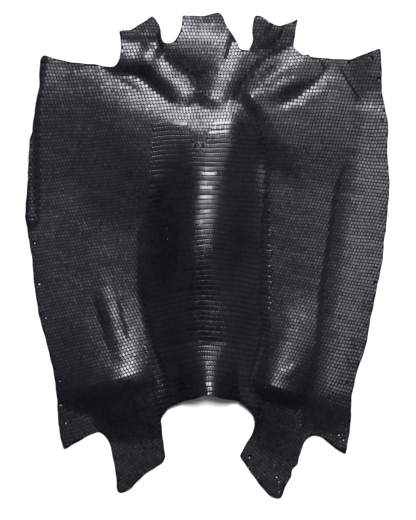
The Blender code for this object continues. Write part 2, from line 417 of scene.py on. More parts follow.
def edge_gap(points, ring):
    """Distance from each point to the nearest point of the ring."""
    apart = points[:, None, :] - ring[None, :, :]
    return np.sqrt((apart**2).sum(axis=2).min(axis=1))


def hole_gap(points):
    """Distance from each point to the rim of the nearest nail hole."""
    apart = points[:, None, :] - hole_centres[None, :, :]
    return (np.sqrt((apart**2).sum(axis=2)) - hole_radii).min(axis=1)


# %% [markdown]
# ## The leather sheet
# The sheet is a lattice of points on the lying surface, joined into even triangles that
# end exactly at the cut and at the holes. A plain grid would leave a stepped edge. The
# same triangles, turned over, make the flesh side, and a narrow strip between the two
# makes the cut edge, which swells a little in the middle as cut leather does.

# %% Lay out the sheet
LATTICE_STEP = 2.5
LATTICE_EDGE_GAP = 1.4
LATTICE_HOLE_GAP = 0.9
LEATHER_THICKNESS = 0.9
EDGE_SWELL = 0.12


def lattice(step):
    """An even triangular lattice over the hide's box, clear of the edge and the holes."""
    low, high = edge_ring.min(axis=0), edge_ring.max(axis=0)
    rows = np.arange(low[1], high[1], step * np.sqrt(3.0) / 2.0)
    columns = np.arange(low[0], high[0], step)
    x, y = np.meshgrid(columns, rows)
    x = x + (np.arange(len(rows))[:, None] % 2) * step / 2.0
    points = np.column_stack([x.ravel(), y.ravel()])
    points = points[in_batches(inside, points, edge_ring)]
    points = points[in_batches(edge_gap, points, edge_ring) > LATTICE_EDGE_GAP]
    return points[hole_gap(points) > LATTICE_HOLE_GAP]


def closed_ring_edges(start, count):
    """Pairs of point numbers that close a ring of count points from start."""
    here = np.arange(count)
    return np.column_stack([here, (here + 1) % count]) + start


rings = [edge_ring] + [hole_ring(hole) for hole in NAIL_HOLES]
ring_starts = np.cumsum([0] + [len(ring) for ring in rings])
ring_edges = np.vstack([closed_ring_edges(start, len(ring)) for start, ring in zip(ring_starts, rings)])
plan = np.vstack(rings + [lattice(LATTICE_STEP)])
INSIDE_EDGE_ONLY = 1
MERGE_TOLERANCE = 1e-7
filled = delaunay_2d_cdt(plan.tolist(), ring_edges.tolist(), [], INSIDE_EDGE_ONLY, MERGE_TOLERANCE)
triangles = np.array(filled[2])
middles = plan[triangles].mean(axis=1)
triangles = triangles[hole_gap(middles) > 0.0]
print(len(plan), "points and", len(triangles), "triangles on each side")
print("points lost to merging:", len(plan) - len(filled[0]))


# %% [markdown]
# The sheet gets its thickness along its own slope, not straight up, so it is as thick on
# the steep side of a fold as on the flat. A Solidify modifier could do that too. Here the
# faces are listed one kind after another, because grain, flesh and cut edge each have a
# finish of their own.

# %% Give the sheet its thickness
def place_on_leather(points, height):
    """Points on the lying surface, raised by height along its normal, in metres."""
    x, y = points.T
    surface = np.column_stack([x, y, lie(x, y)])
    return (surface + upward(x, y) * np.reshape(height, (-1, 1))) * MM


def make_mesh_object(name, points, faces, materials, face_material=None):
    """A smooth-shaded mesh object at the origin, from whole arrays of points and faces."""
    mesh = bpy.data.meshes.new(name)
    mesh.from_pydata(points.tolist(), [], faces)
    for material in materials:
        mesh.materials.append(material)
    if face_material is not None:
        mesh.polygons.foreach_set("material_index", face_material)
    mesh.polygons.foreach_set("use_smooth", np.ones(len(mesh.polygons), dtype=bool))
    mesh.update()
    made = bpy.data.objects.new(name, mesh)
    bpy.context.scene.collection.objects.link(made)
    return made


count = len(plan)
ring_count = int(ring_starts[-1])
outward = np.vstack([leftward(ring) for ring in rings])
drawn_in = plan.copy()
drawn_in[:ring_count] -= outward * EDGE_SWELL
front_points = place_on_leather(drawn_in, np.full(count, LEATHER_THICKNESS))
flesh_points = place_on_leather(drawn_in, np.zeros(count))
middle_points = place_on_leather(plan[:ring_count], np.full(ring_count, LEATHER_THICKNESS / 2.0))
sheet_points = np.vstack([front_points, flesh_points, middle_points])

here, onward = ring_edges.T
front_here, front_onward = here, onward
flesh_here, flesh_onward = here + count, onward + count
middle_here, middle_onward = here + 2 * count, onward + 2 * count
lower_strip = np.column_stack([flesh_onward, flesh_here, middle_here, middle_onward])
upper_strip = np.column_stack([middle_onward, middle_here, front_here, front_onward])
sheet_faces = (
    triangles.tolist()
    + (triangles[:, ::-1] + count).tolist()
    + lower_strip.tolist()
    + upper_strip.tolist()
)
GRAIN, FLESH, CUT = 0, 1, 2
sheet_material = np.concatenate([
    np.full(len(triangles), GRAIN),
    np.full(len(triangles), FLESH),
    np.full(2 * len(ring_edges), CUT),
])
print(len(sheet_faces), "faces on the sheet")

# %% [markdown]
# ## Finishes
# Five finishes cover the hide. Beads and plates carry the hard polished glaze: black dye
# under a clear coat, smoother on some scales than on others. The grooves between them
# stay matte, the flesh side is suede, and the cut edge shows the fibres. Flat colours
# would look like plastic, so each finish is built from noise on object coordinates.

# %% Helpers for materials
def set_inputs(tree, node, values):
    """Sets each named input: another node's output is linked, anything else is its value."""
    for name, value in values.items():
        if isinstance(value, bpy.types.NodeSocket):
            tree.links.new(value, node.inputs[name])
        else:
            node.inputs[name].default_value = value


def add_node(tree, kind, values, **settings):
    """A new shader node with its settings and then its inputs."""
    node = tree.nodes.new("ShaderNode" + kind)
    for name, value in settings.items():
        setattr(node, name, value)
    set_inputs(tree, node, values)
    return node


def new_material(name):
    """An empty node material with a Principled shader, and its node tree."""
    material = bpy.data.materials.new(name)
    material.use_nodes = True
    tree = material.node_tree
    return material, tree, tree.nodes["Principled BSDF"]


def noise(tree, scale, detail=4.0, roughness=0.5):
    """Noise on object coordinates, scale in cycles per metre; returns its 0 to 1 output."""
    place = add_node(tree, "TexCoord", {}).outputs["Object"]
    values = {"Vector": place, "Scale": scale, "Detail": detail, "Roughness": roughness}
    return add_node(tree, "TexNoise", values).outputs["Fac"]


def point_value(tree, name):
    """The number that each point of the mesh carries under a name."""
    return add_node(tree, "Attribute", {}, attribute_name=name).outputs["Fac"]


def spread(tree, value, low, high, start=0.3, end=0.7):
    """Maps a value from start..end to low..high, held at both ends."""
    values = {"Value": value, "From Min": start, "From Max": end, "To Min": low, "To Max": high}
    return add_node(tree, "MapRange", values).outputs["Result"]


def add_up(tree, first, second):
    """The sum of two outputs."""
    return add_node(tree, "Math", {0: first, 1: second}, operation="ADD").outputs["Value"]


def blend_colours(tree, value, dark, light):
    """A colour between dark and light, by value."""
    values = {"Factor": value, "A": (*dark, 1.0), "B": (*light, 1.0)}
    return add_node(tree, "Mix", values, data_type="RGBA").outputs["Result"]


def bump(tree, height, distance, strength):
    """A normal that follows a height output, distance in metres."""
    values = {"Height": height, "Distance": distance, "Strength": strength}
    return add_node(tree, "Bump", values).outputs["Normal"]


# %% [markdown]
# The glaze is rubbed to a shine with an agate stone. The stone misses the deep hollows,
# and the outer right flank of this skin shines more than the rest. So each scale carries
# two numbers of its own: its tone, and how many coats of glaze it has. The first sets
# dye and gloss, and the second the clear coat and how strongly the scale mirrors.

# %% The glazed scales
# The dye, from where it took best to where it took least.
DYE = ((0.0028, 0.0033, 0.0048), (0.0060, 0.0068, 0.0092))
# Tone and patches add up to a number that is spread over these ends.
TONE_ENDS = {"start": 0.2, "end": 1.8}
# How strongly a glazed scale mirrors, and one that the stone missed.
GLAZE_SPECULAR = 0.27
MISSED_SPECULAR = 0.05
GLAZE_TINT = (0.86, 0.90, 1.0, 1.0)
# How much rougher a missed scale is, and how many coats make the clear coat full.
MISSED_ROUGHNESS = 0.10
FULL_COATS = 5.0


def glazed_scale_finish(name, polished, dull, coat_roughness):
    """Polished black scales: dye and gloss go with patches + tone, coat and mirror with glaze."""
    material, tree, shader = new_material(name)
    patch = spread(tree, noise(tree, scale=28.0, detail=3.0), 0.0, 1.0)
    both = add_up(tree, patch, point_value(tree, "scale_tone"))
    glaze = point_value(tree, "glaze")
    missed = spread(tree, glaze, MISSED_ROUGHNESS, 0.0, start=0.0, end=1.0)
    gloss = spread(tree, both, polished, dull, **TONE_ENDS)
    # A program that can't follow the link below reads this value of the socket.
    shader.inputs["Specular IOR Level"].default_value = GLAZE_SPECULAR
    set_inputs(tree, shader, {
        "Base Color": blend_colours(tree, spread(tree, both, 0.0, 1.0, **TONE_ENDS), *DYE),
        "Roughness": add_up(tree, gloss, missed),
        "Specular IOR Level": spread(tree, glaze, MISSED_SPECULAR, GLAZE_SPECULAR, start=0.0, end=1.0),
        "Specular Tint": GLAZE_TINT,
        "Coat Weight": spread(tree, glaze, 0.0, 1.0, start=0.0, end=FULL_COATS),
        "Coat Roughness": coat_roughness,
        "Normal": bump(tree, noise(tree, scale=2600.0, detail=3.0), distance=0.00002, strength=0.15),
    })
    return material


bead_glaze = glazed_scale_finish("glazed_bead", polished=0.19, dull=0.32, coat_roughness=0.17)
plate_glaze = glazed_scale_finish("glazed_plate", polished=0.14, dull=0.22, coat_roughness=0.12)
print("glazes:", bead_glaze.name, plate_glaze.name)

# %% [markdown]
# The leather under the scales has three finishes. Each takes one noise for both its
# colour and its relief, so that its colour is darker where the relief is low, in the pits.

# %% The leather's own finishes
GROOVE_COLOURS = ((0.0015, 0.0015, 0.0022), (0.0040, 0.0040, 0.0055))
SUEDE_COLOURS = ((0.028, 0.027, 0.028), (0.075, 0.072, 0.072))
FIBRE_COLOURS = ((0.012, 0.011, 0.011), (0.045, 0.041, 0.038))


def groove_finish():
    """Matte black skin between the scales, with a fine granular relief."""
    material, tree, shader = new_material("groove_leather")
    grain = noise(tree, scale=1400.0, detail=4.0, roughness=0.6)
    set_inputs(tree, shader, {
        "Base Color": blend_colours(tree, spread(tree, grain, 0.0, 1.0), *GROOVE_COLOURS),
        "Roughness": spread(tree, grain, 0.50, 0.75),
        "Specular IOR Level": 0.12,
        "Normal": bump(tree, grain, distance=0.00012, strength=0.8),
    })
    return material


def flesh_finish():
    """Charcoal suede: short fibres in soft patches, with a faint nap."""
    material, tree, shader = new_material("suede_flesh_side")
    nap = noise(tree, scale=900.0, detail=6.0, roughness=0.7)
    both = add_up(tree, nap, noise(tree, scale=35.0, detail=3.0))
    set_inputs(tree, shader, {
        "Base Color": blend_colours(tree, spread(tree, both, 0.0, 1.0, start=0.7, end=1.3), *SUEDE_COLOURS),
        "Roughness": 0.92,
        "Sheen Weight": 0.35,
        "Sheen Roughness": 0.5,
        "Normal": bump(tree, nap, distance=0.00025, strength=0.9),
    })
    return material


def cut_edge_finish():
    """The cut edge: dyed through, rough with fibre ends."""
    material, tree, shader = new_material("cut_edge")
    fibre = noise(tree, scale=2200.0, detail=5.0, roughness=0.7)
    set_inputs(tree, shader, {
        "Base Color": blend_colours(tree, spread(tree, fibre, 0.0, 1.0), *FIBRE_COLOURS),
        "Roughness": 0.85,
        "Normal": bump(tree, fibre, distance=0.00015, strength=0.8),
    })
    return material


sheet_finishes = [groove_finish(), flesh_finish(), cut_edge_finish()]
leather_sheet = make_mesh_object("hide_leather", sheet_points, sheet_faces, sheet_finishes, sheet_material)
print("leather sheet:", len(leather_sheet.data.polygons), "faces,", len(sheet_finishes), "finishes")

# %% [markdown]
# ## One scale of each kind
# Two shapes are repeated over the whole skin. A bead is the small oval scale of the
# flanks, neck and legs. A plate is the long flat scale of the belly. Both are a stack of
# rings: a buried foot, a shoulder, and a top that is nearly flat with a bevelled rim. A
# bead stands a little higher than a plate, so where they meet it overlaps it cleanly.
# They are kept to a few dozen faces, because there are many thousands of them.

# %% Templates
ScaleShape = namedtuple("ScaleShape", "points faces smooth brim tilt finish")

# Each ring of a scale: how wide and long it is, as shares of the whole, and its height in mm.
# Sag is how far the top falls at its sides and at its ends. Tilt is how far the scale
# leans at random, in radians.
BEAD_RINGS = [(1.00, 1.00, -0.20), (0.97, 0.97, 0.07), (0.91, 0.91, 0.22)]
BEAD_SAG = (0.03, 0.03)
BEAD_SIDES = 8
BEAD_SQUARENESS = 2.2
BEAD_TILT = 0.010
PLATE_RINGS = [(1.00, 1.00, -0.20), (0.98, 0.98, 0.04), (0.95, 0.93, 0.115), (0.92, 0.74, 0.16)]
PLATE_SAG = (0.01, 0.02)
PLATE_SIDES = 12
PLATE_SQUARENESS = 5.0
PLATE_TILT = 0.005


def superellipse(sides, squareness):
    """Points on |x|^n + |y|^n = 1, evenly turned, starting half a step off the x axis."""
    turn = 2.0 * np.pi * (np.arange(sides) + 0.5) / sides
    c, s = np.cos(turn), np.sin(turn)
    radius = (np.abs(c) ** squareness + np.abs(s) ** squareness) ** (-1.0 / squareness)
    return np.column_stack([radius * c, radius * s])


def scale_shape(rings, sag, sides, squareness, tilt, finish):
    """Rings of one outline, lowered by sag x^2 + sag y^2, under a smooth fan to the crown."""
    outline = superellipse(sides, squareness)
    crown = rings[-1][2]
    levels = []
    for wide, long, height in rings:
        x, y = (outline * (wide, long)).T
        lowered = height - (sag[0] * x**2 + sag[1] * y**2 if height > 0.0 else 0.0)
        levels.append(np.column_stack([x, y, np.full(sides, lowered)]))
    points = np.vstack(levels + [np.array([[0.0, 0.0, crown]])])
    side = np.arange(sides)
    after_side = (side + 1) % sides
    walls = []
    for level in range(len(rings) - 1):
        low, high = level * sides, (level + 1) * sides
        walls += np.column_stack([low + side, low + after_side, high + after_side, high + side]).tolist()
    top = (len(rings) - 1) * sides
    fan = np.column_stack([top + side, top + after_side, np.full(sides, len(points) - 1)]).tolist()
    foot = [side[::-1].tolist()]
    smooth = [False] * len(walls) + [True] * len(fan) + [False]
    return ScaleShape(points, walls + fan + foot, smooth, (top, top + sides), tilt, finish)


BEAD = scale_shape(BEAD_RINGS, BEAD_SAG, BEAD_SIDES, BEAD_SQUARENESS, BEAD_TILT, bead_glaze)
PLATE = scale_shape(PLATE_RINGS, PLATE_SAG, PLATE_SIDES, PLATE_SQUARENESS, PLATE_TILT, plate_glaze)
print("bead:", len(BEAD.faces), "faces; plate:", len(PLATE.faces), "faces")

# %% [markdown]
# ## Where the scales sit
# On the living lizard the scales stand in rings round the body. Opened flat, the rings
# are rows that droop from the middle to the flanks, more so towards the hind legs.
# A belly band of plates runs down the middle. The rows are laid out one band at a time
# so that they meet the band's borders: each band is a grid of row and column numbers,
# turned into places by a few tables of sizes.

# %% Borders and rows
Border = namedtuple("Border", "y left right")

# The borders of the middle band, from the vent to the neck, in millimetres.
BORDERS = [
    Border(-150, -36, 36),
    Border(-113, -47, 47),
    Border(-60, -52.5, 52.5),
    Border(0, -51.5, 53.0),
    Border(50, -49.5, 51.5),
    Border(90, -47.0, 48.0),
    Border(112, -45.0, 42.0),
    Border(150, -38, 35),
    Border(205, -30, 29),
]

RowStyle = namedtuple("RowStyle", "y droop plate_pitch bead_pitch bead_width")

# Droop is the slope of the rows far from the middle. Pitches are the steps from row to
# row, and the width is the step from bead to bead along a row of the flanks.
ROW_STYLES = [
    RowStyle(-170, 0.46, 4.2, 2.75, 2.55),
    RowStyle(-110, 0.34, 4.2, 2.70, 2.50),
    RowStyle(-50, 0.22, 4.2, 2.55, 2.45),
    RowStyle(20, 0.15, 4.1, 2.50, 2.42),
    RowStyle(60, 0.11, 3.95, 2.52, 2.45),
    RowStyle(110, 0.05, 3.6, 2.60, 2.60),
    RowStyle(150, 0.02, 3.6, 2.65, 2.60),
    RowStyle(205, 0.00, 3.6, 2.65, 2.55),
]
DROOP_EASE = 25.0
ROW_STEP = 0.1


def from_table(table, field, y):
    """A column of a table, read between its rows."""
    return np.interp(y, [row.y for row in table], [getattr(row, field) for row in table])


def row_heights(field, low, high):
    """Heights on the middle line of all rows from low to high: steps of the table's pitch."""
    fine = np.arange(low, high, ROW_STEP)
    number = np.cumsum(ROW_STEP / from_table(ROW_STYLES, field, fine))
    return np.interp(np.arange(np.floor(number[-1])), number, fine)


def drooped(x, row):
    """A row's height and slope at x: it leaves the middle level and falls outwards."""
    droop = from_table(ROW_STYLES, "droop", row)
    reach = np.sqrt(x**2 + DROOP_EASE**2)
    return row - droop * (reach - DROOP_EASE), -droop * x / reach


# A row strays from its even course in slow waves along it, all in millimetres.
Stray = namedtuple("Stray", "reach length drift phase")

STRAYS = [Stray(0.35, 7.3, 19.0, 0.0), Stray(0.22, 4.1, -27.0, 1.0)]


def wander(x, y):
    """How far a row strays: the sum of reach times the sine of x / length + y / drift + phase."""
    return sum(wave.reach * np.sin(x / wave.length + y / wave.drift + wave.phase) for wave in STRAYS)


print(len(row_heights("plate_pitch", -113.0, 110.0)), "rows of plates from vent to chest")

# %% [markdown]
# A band is numbered first and only then bent into place. Its rows droop, wander a little
# and lean, as real ones do, and every other row is set off by half a step, so that the
# scales close up like bricks. Points scattered at random and pushed apart would also
# fill the skin, but they would lose the rows.

# %% Bands of scales
Scales = namedtuple("Scales", "x y turn half_width half_length lean")

# Half the width and half the length of a scale, as shares of the steps between scales.
BEAD_FILL = (0.475, 0.53)
PLATE_FILL = (0.495, 0.465)
# How far each whole row leans at random, in radians.
PLATE_ROW_LEAN = 0.022
BEAD_ROW_LEAN = 0.006
WIDEST_MIDDLE = 120.0
MIDDLE_LINE = 3.0
FLANK_COLUMNS = 60
rng = np.random.default_rng(7)


def keep(scales, chosen):
    """The chosen scales of a set."""
    return Scales(*[column[chosen] for column in scales])


def numbered(rows, columns):
    """Every row's height, number and column numbers, as three arrays of rows by columns."""
    row, column = np.meshgrid(rows, np.arange(columns), indexing="ij")
    number = np.meshgrid(np.arange(len(rows)), np.arange(columns), indexing="ij")[0]
    return row, number, column


def middle_band(pitch_field, width, fill, row_lean, low, high):
    """Rows that fill the middle band from border to border, each row set off by half a step."""
    rows = row_heights(pitch_field, low, high)
    row, number, column = numbered(rows, int(WIDEST_MIDDLE / width))
    left, right = from_table(BORDERS, "left", row), from_table(BORDERS, "right", row)
    across = np.round((right - left) / width)
    step = (right - left) / across
    place = column + 0.5 + 0.5 * (number % 2)
    x = left + place * step
    y, slope = drooped(x - MIDDLE_LINE, row)
    y = y + wander(x, row)
    pitch = from_table(ROW_STYLES, pitch_field, row)
    lean = rng.normal(0.0, row_lean, len(rows))[number]
    band = Scales(*[a.ravel() for a in (x, y, np.arctan(slope), step * fill[0], pitch * fill[1], lean)])
    return keep(band, (place < across).ravel())


def flank_band(side, low, high):
    """Beads outwards from a border, side -1 left or +1 right, in rows set off by half a step."""
    rows = row_heights("bead_pitch", low, high)
    row, number, column = numbered(rows, FLANK_COLUMNS)
    width = from_table(ROW_STYLES, "bead_width", row)
    border = from_table(BORDERS, "left" if side < 0 else "right", row)
    x = border + side * (column + 0.5 - 0.5 * (number % 2)) * width
    y, slope = drooped(x, row)
    y = y + wander(x, row)
    pitch = from_table(ROW_STYLES, "bead_pitch", row)
    lean = rng.normal(0.0, BEAD_ROW_LEAN, len(rows))[number]
    sizes = (width * BEAD_FILL[0], pitch * BEAD_FILL[1])
    return Scales(*[a.ravel() for a in (x, y, np.arctan(slope), *sizes, lean)])


LegPatch = namedtuple("LegPatch", "x y turn width pitch reach")


def leg_band(patch):
    """A grid of beads turned by turn degrees round (x, y), for a leg whose rows slant."""
    most = int(patch.reach / patch.width)
    steps = np.arange(-most, most + 1)
    row, column = np.meshgrid(steps, steps, indexing="ij")
    along = (column + 0.5 * (row % 2)) * patch.width
    down = row * patch.pitch
    angle = np.radians(patch.turn)
    x = patch.x + along * np.cos(angle) - down * np.sin(angle)
    y = patch.y + along * np.sin(angle) + down * np.cos(angle)
    sizes = (angle, patch.width * BEAD_FILL[0], patch.pitch * BEAD_FILL[1], 0.0)
    return Scales(x.ravel(), y.ravel(), *[np.full(x.size, size) for size in sizes])


# %% [markdown]
# The bands are cut to where each kind grows. The beads of the chest run back among the
# plates as a short tongue, and the slanting rows of the hind legs meet those of the
# flanks at a seam. Where two bands meet, scales whose middles come too near to another
# one are left out, as the skin itself does where two fields of scales join.

# %% Fill the hide with scales
PLATE_WIDTH = 2.06
CHEST_BEAD_WIDTH = 2.5
PLATE_ROWS = (-135.0, 125.0)
BEAD_ROWS = (-185.0, 215.0)
# How far forward the plates reach, and the middle, half width and reach of the chest's tongue.
BELLY_FRONT = 110.0
CHEST_TONGUE = (-6.0, 13.0, 24.0)
CHEST_OVERLAP = 1.5
# How near to the cut and to a nail hole a scale's middle may be, and the box they all lie in.
EDGE_MARGIN = 0.55
HOLE_MARGIN = 0.5
HIDE_BOX = (152.0, 203.0)
# How near the middles of two scales may come where two bands meet.
CHEST_TO_PLATE = 1.7
FLANK_TO_PLATE = 1.6
FLANK_TO_CHEST = 1.7
LEG_TO_FLANK = 2.05
LEG_TO_PLATE = 2.4
# The seam of the hind legs: its height at the leg's root, its slant, and how far legs pass it.
HIND_SEAM = -128.0
SEAM_SLANT = 0.42
SEAM_ROOT = 40.0
SEAM_OVERLAP = 2.0
LEG_EDGE = 90.0
LEG_PATCHES = {
    -1: LegPatch(-58.0, -150.0, 36.0, 2.6, 2.75, 75.0),
    1: LegPatch(56.0, -155.0, -44.0, 2.6, 2.75, 75.0),
}


def belly_front(x):
    """How far forward the plates reach: the beads of the chest run back as a tongue."""
    middle, half, reach = CHEST_TONGUE
    return BELLY_FRONT - reach * bell((x - middle) / half)


def hind_seam(x):
    """Where a flank's rows end and a hind leg's begin: it falls outwards from the leg's root."""
    return HIND_SEAM - SEAM_SLANT * (np.abs(x) - SEAM_ROOT)


def on_leather(scales):
    """The scales whose middle lies on the leather, clear of the cut and of the nail holes."""
    points = np.column_stack([scales.x, scales.y])
    near = (np.abs(scales.x) < HIDE_BOX[0]) & (np.abs(scales.y) < HIDE_BOX[1])
    scales, points = keep(scales, near), points[near]
    fits = in_batches(inside, points, edge_ring)
    scales, points = keep(scales, fits), points[fits]
    fits = (in_batches(edge_gap, points, edge_ring) > EDGE_MARGIN) & (hole_gap(points) > HOLE_MARGIN)
    return keep(scales, fits)


def clear_of(scales, others, gap):
    """The scales that keep at least gap from all the others."""
    points = np.column_stack([scales.x, scales.y])
    taken = np.column_stack([others.x, others.y])
    return keep(scales, in_batches(edge_gap, points, taken) > gap)


plates = on_leather(middle_band("plate_pitch", PLATE_WIDTH, PLATE_FILL, PLATE_ROW_LEAN, *PLATE_ROWS))
plates = keep(plates, plates.y < belly_front(plates.x))
chest = on_leather(middle_band("bead_pitch", CHEST_BEAD_WIDTH, BEAD_FILL, BEAD_ROW_LEAN, *BEAD_ROWS))
chest = keep(chest, chest.y > belly_front(chest.x) - CHEST_OVERLAP)
chest = clear_of(chest, plates, CHEST_TO_PLATE)
flanks = {}
hind_legs = {}
for side in (-1, 1):
    flank = on_leather(flank_band(side, *BEAD_ROWS))
    flank = clear_of(clear_of(flank, plates, FLANK_TO_PLATE), chest, FLANK_TO_CHEST)
    flanks[side] = keep(flank, flank.y > hind_seam(flank.x))
    leg = on_leather(leg_band(LEG_PATCHES[side]))
    below = leg.y < hind_seam(leg.x) + SEAM_OVERLAP
    leg = keep(leg, below & (leg.x * side > 0.0) & (np.abs(leg.x) < LEG_EDGE))
    hind_legs[side] = clear_of(clear_of(leg, flanks[side], LEG_TO_FLANK), plates, LEG_TO_PLATE)
print("plates", len(plates.x), "chest beads", len(chest.x))
print("flank beads", [len(flank.x) for flank in flanks.values()])
print("hind leg beads", [len(leg.x) for leg in hind_legs.values()])

# %% [markdown]
# ## Growing the scales
# Every scale is stiff, so it keeps its own flat foot and only its place and tilt follow
# the leather. That is also what makes the hide glitter: each scale catches the light
# on its own. One scale's points are turned, stretched and tilted for all scales at
# once, as an array of scales by points. Those that reach over the cut are trimmed
# back to it, as the knife trims the real ones.

# %% Places of the scales' points
SINK = 0.05
SIZE_SPREAD = 0.05
TURN_SPREAD = 0.06
RISE_SPREAD = 0.12
TRIM_INSET = 0.30
# Scales with their middle this near to the cut are trimmed, at points this near to it.
TRIMMED_SCALES = 3.0
TRIMMED_POINTS = 2.0


def trim_to_edge(points):
    """Moves points that lie beyond the trim line, just inside the cut, back to it."""
    inset = edge_ring - leftward(edge_ring) * TRIM_INSET
    near = np.flatnonzero(in_batches(edge_gap, points, edge_ring) < TRIMMED_POINTS)
    outside = near[~in_batches(inside, points[near], inset)]
    apart = points[outside][:, None, :] - inset[None, :, :]
    points[outside] = inset[(apart**2).sum(axis=2).argmin(axis=1)]
    return points


def scale_axes(shape, scales):
    """Along, across and up of each scale: the leather's normal leant a little, and the row's turn."""
    total = len(scales.x)
    normal = upward(scales.x, scales.y)
    normal[:, :2] += rng.normal(0.0, shape.tilt, (total, 2))
    normal[:, 1] += scales.lean
    normal /= np.linalg.norm(normal, axis=1)[:, None]
    turn = scales.turn + rng.normal(0.0, TURN_SPREAD, total)
    along = np.column_stack([np.cos(turn), np.sin(turn), np.zeros(total)])
    along -= normal * (along * normal).sum(axis=1)[:, None]
    along /= np.linalg.norm(along, axis=1)[:, None]
    return along, np.cross(normal, along), normal


def scale_points(shape, scales):
    """Scales by points: centre + along x width + across y length + up z, each with its own spread."""
    along, across, normal = scale_axes(shape, scales)
    total = len(scales.x)
    size = 1.0 + rng.normal(0.0, SIZE_SPREAD, (total, 2))
    rise = 1.0 + rng.normal(0.0, RISE_SPREAD, total)
    surface = np.column_stack([scales.x, scales.y, lie(scales.x, scales.y)])
    centre = surface + upward(scales.x, scales.y) * (LEATHER_THICKNESS - SINK)
    px, py, pz = shape.points.T
    points = (
        centre[:, None, :]
        + along[:, None, :] * (px * (scales.half_width * size[:, 0])[:, None])[:, :, None]
        + across[:, None, :] * (py * (scales.half_length * size[:, 1])[:, None])[:, :, None]
        + normal[:, None, :] * (pz * rise[:, None])[:, :, None]
    )
    close = in_batches(edge_gap, surface[:, :2], edge_ring) < TRIMMED_SCALES
    edge_scales = points[close].reshape(-1, 3)
    edge_scales[:, :2] = trim_to_edge(edge_scales[:, :2])
    points[close] = edge_scales.reshape(-1, len(px), 3)
    return points


# %% [markdown]
# How much glaze a scale has follows from where it sits. A hollow is a place that lies
# lower than the leather round it, so it is found from the lying surface itself and needs
# no painting by hand. The right flank's extra shine starts at a slanting line.

# %% Coats of glaze
# The stone misses the hollows. Both depths are in mm, taken over this reach.
HOLLOW_REACH = 3.0
HOLLOW_START = 0.02
HOLLOW_END = 0.06
# The right flank outside its fold has more coats, past this line, and they fade in over a width.
MORE_COATS = 4.0
MORE_COATS_FROM = 106.0
MORE_COATS_SLANT = 0.16
MORE_COATS_FADE = 8.0


def glaze_coats(x, y):
    """Coats of glaze: 1, down to 0 in deep hollows, and more outside the right flank's fold."""
    sides = ((HOLLOW_REACH, 0.0), (-HOLLOW_REACH, 0.0), (0.0, HOLLOW_REACH), (0.0, -HOLLOW_REACH))
    around = sum(lie(x + dx, y + dy) for dx, dy in sides) / len(sides)
    hollow = around - lie(x, y)
    reached = 1.0 - np.clip((hollow - HOLLOW_START) / (HOLLOW_END - HOLLOW_START), 0.0, 1.0)
    outer = np.clip((x - MORE_COATS_FROM - MORE_COATS_SLANT * y) / MORE_COATS_FADE, 0.0, 1.0)
    return reached * (1.0 + MORE_COATS * outer)


print("coats of glaze on the plates:", glaze_coats(plates.x, plates.y).mean().round(2), "on average")

# %% [markdown]
# All scales of one band are joined in one mesh, because thousands of objects would be
# slow to draw. The tops are shaded smooth and the walls flat, and the brim between them
# is marked sharp, so that each top mirrors as one clean face with a crisp rim.

# %% Build joined meshes of scales
def scale_faces(shape, total):
    """The template's faces for every scale, sorted by corners and shading, and which are smooth."""
    offsets = np.arange(total) * len(shape.points)
    by_kind = {}
    for face, smooth in zip(shape.faces, shape.smooth):
        by_kind.setdefault((len(face), smooth), []).append(face)
    faces, smooth_faces = [], []
    for (corners, smooth), group in by_kind.items():
        faces += (offsets[:, None, None] + np.array(group)[None]).reshape(-1, corners).tolist()
        smooth_faces.append(np.full(len(group) * total, smooth))
    return faces, np.concatenate(smooth_faces)


def sharpen_brims(mesh, shape):
    """Marks each edge as sharp whose two ends are both on the brim of a scale's top."""
    ends = np.empty(len(mesh.edges) * 2, dtype=np.int32)
    mesh.edges.foreach_get("vertices", ends)
    ends = ends.reshape(-1, 2) % len(shape.points)
    on_brim = ((ends >= shape.brim[0]) & (ends < shape.brim[1])).all(axis=1)
    mesh.edges.foreach_set("use_edge_sharp", on_brim)


def give_each_scale(mesh, name, values, shape):
    """Stores one value for each scale on all of its points."""
    carried = mesh.attributes.new(name, "FLOAT", "POINT")
    carried.data.foreach_set("value", np.repeat(values, len(shape.points)).astype(np.float32))


def grow(name, shape, scales):
    """One joined mesh of a shape at every place in scales, with its tone and glaze."""
    total = len(scales.x)
    points = scale_points(shape, scales).reshape(-1, 3) * MM
    faces, smooth_faces = scale_faces(shape, total)
    made = make_mesh_object(name, points, faces, [shape.finish])
    made.data.polygons.foreach_set("use_smooth", smooth_faces)
    sharpen_brims(made.data, shape)
    give_each_scale(made.data, "scale_tone", rng.random(total), shape)
    give_each_scale(made.data, "glaze", glaze_coats(scales.x, scales.y), shape)
    triangle_count = sum(len(polygon.vertices) - 2 for polygon in made.data.polygons)
    print(name, triangle_count, "triangles")
    return made


# The flanks are split here, so that no mesh grows too large.
FLANK_SPLIT = 0.0
pieces = [
    grow("hide_belly_plates_left", PLATE, keep(plates, plates.x < 0.0)),
    grow("hide_belly_plates_right", PLATE, keep(plates, plates.x >= 0.0)),
    grow("hide_neck_and_chest_scales", BEAD, chest),
]
for side, word in ((-1, "left"), (1, "right")):
    flank = flanks[side]
    fore = flank.y > FLANK_SPLIT
    pieces.append(grow(f"hide_{word}_fore_flank_scales", BEAD, keep(flank, fore)))
    pieces.append(grow(f"hide_{word}_rear_flank_scales", BEAD, keep(flank, ~fore)))
    pieces.append(grow(f"hide_{word}_hind_leg_scales", BEAD, hind_legs[side]))

# %% [markdown]
# ## Surroundings
# The hide lies on a plain pale floor, just under its lowest point. A pure white floor
# would look cut out, so its grey drifts a little.

